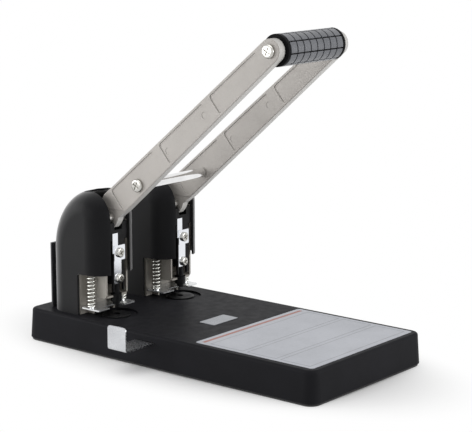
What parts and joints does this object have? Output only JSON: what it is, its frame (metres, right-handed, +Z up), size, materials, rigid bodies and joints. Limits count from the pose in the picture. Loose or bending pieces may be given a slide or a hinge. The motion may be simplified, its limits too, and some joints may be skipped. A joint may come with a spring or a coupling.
{
  "type": "two-hole lever punch",
  "caption": "Heavy-duty desk punch: a long double-armed lever with a grip drives two spring-loaded punches down on a flat base with a paper guide.",
  "frame": {"origin": "centre of the sole, on the surface the punch stands on", "axes": "+Z up, +Y to the rear where the two heads stand, +X to the user's right along both punches"},
  "size_m": [0.1789, 0.3008, 0.2692],
  "materials": {
    "base_black": "black moulded plastic, satin",
    "sole_rubber": "soft black sole",
    "die_steel": "blackened steel",
    "guide_chrome": "bright plated sheet",
    "keeper_plastic": "black plastic",
    "frame_paint": "warm grey paint",
    "screw_chrome": "bright plated",
    "cover_black": "black moulded plastic, half gloss",
    "support_black": "dark grey paint",
    "pin_steel": "turned steel",
    "slide_black": "blackened steel",
    "punch_steel": "hardened, blackened",
    "strap_chrome": "bright plated sheet",
    "bar_black": "blackened steel",
    "spring_steel": "bright spring wire",
    "arm_paint": "cast, painted warm grey",
    "rod_chrome": "bright plated",
    "core_steel": "turned",
    "grip_rubber": "black rubber, slight sheen"
  },
  "bodies": {
    "base": {"base_shell": "base_black", "bottom_cover": "sole_rubber", "die_disc_left": "die_steel", "die_disc_right": "die_steel", "guide_keeper": "keeper_plastic", "frame_left": "frame_paint", "frame_right": "frame_paint", "punch_guide_left": "punch_steel", "punch_guide_right": "punch_steel", "frame_screws": "screw_chrome", "cover_left": "cover_black", "cover_right": "cover_black", "rear_support_left": "support_black", "rear_support_right": "support_black", "support_screws": "screw_chrome", "pivot_pin_left": "pin_steel", "pivot_pin_right": "pin_steel", "pivot_spacers_left": "pin_steel", "pivot_spacers_right": "pin_steel"},
    "lever": {"lever_arm_left": "arm_paint", "lever_arm_right": "arm_paint", "tie_rod": "rod_chrome", "tie_rod_screws": "screw_chrome", "grip_core": "core_steel", "grip_sleeve": "grip_rubber", "grip_rings": "grip_rubber", "grip_screws": "screw_chrome", "drive_pin_left": "pin_steel", "drive_pin_right": "pin_steel", "drive_bushes_left": "pin_steel", "drive_bushes_right": "pin_steel"},
    "guide": {"paper_guide": "guide_chrome"},
    "punch_left": {"slide_block_left": "slide_black", "punch_left": "punch_steel", "slide_strap_left": "strap_chrome", "clamp_plate_left": "strap_chrome", "slide_screws_left": "screw_chrome", "spring_bar_left": "bar_black"},
    "presser_left": {"presser_plate_left": "strap_chrome", "springs_left": "spring_steel"},
    "punch_right": {"slide_block_right": "slide_black", "punch_right": "punch_steel", "slide_strap_right": "strap_chrome", "clamp_plate_right": "strap_chrome", "slide_screws_right": "screw_chrome", "spring_bar_right": "bar_black"},
    "presser_right": {"presser_plate_right": "strap_chrome", "springs_right": "spring_steel"}
  },
  "joints": [
    {"name": "lever_hinge", "type": "hinge", "parent": "base", "child": "lever", "pos_m": [0, 0.0932, 0.10455], "axis": [1, 0, 0], "range_deg": [0, 36], "stiffness_Nm_per_rad": 3, "springref_deg": -28.65},
    {"name": "punch_slide_left", "type": "slide", "parent": "base", "child": "punch_left", "axis": [0, 0, -1], "range_m": [0, 0.00891], "deforming": ["springs_left"]},
    {"name": "presser_slide_left", "type": "slide", "parent": "base", "child": "presser_left", "axis": [0, 0, -1], "range_m": [0, 0.00521]},
    {"name": "punch_slide_right", "type": "slide", "parent": "base", "child": "punch_right", "axis": [0, 0, -1], "range_m": [0, 0.00891], "deforming": ["springs_right"]},
    {"name": "presser_slide_right", "type": "slide", "parent": "base", "child": "presser_right", "axis": [0, 0, -1], "range_m": [0, 0.00521]},
    {"name": "guide_slide", "type": "slide", "parent": "base", "child": "guide", "axis": [-1, 0, 0], "range_m": [-0.029, 0.036]}
  ],
  "couplings": [
    {"joint": "punch_slide_left", "follows": "lever_hinge", "m_per_rad": 0.014164},
    {"joint": "presser_slide_left", "follows": "lever_hinge", "m_per_rad": 0.0082761},
    {"joint": "punch_slide_right", "follows": "lever_hinge", "m_per_rad": 0.014164},
    {"joint": "presser_slide_right", "follows": "lever_hinge", "m_per_rad": 0.0082761}
  ]
}
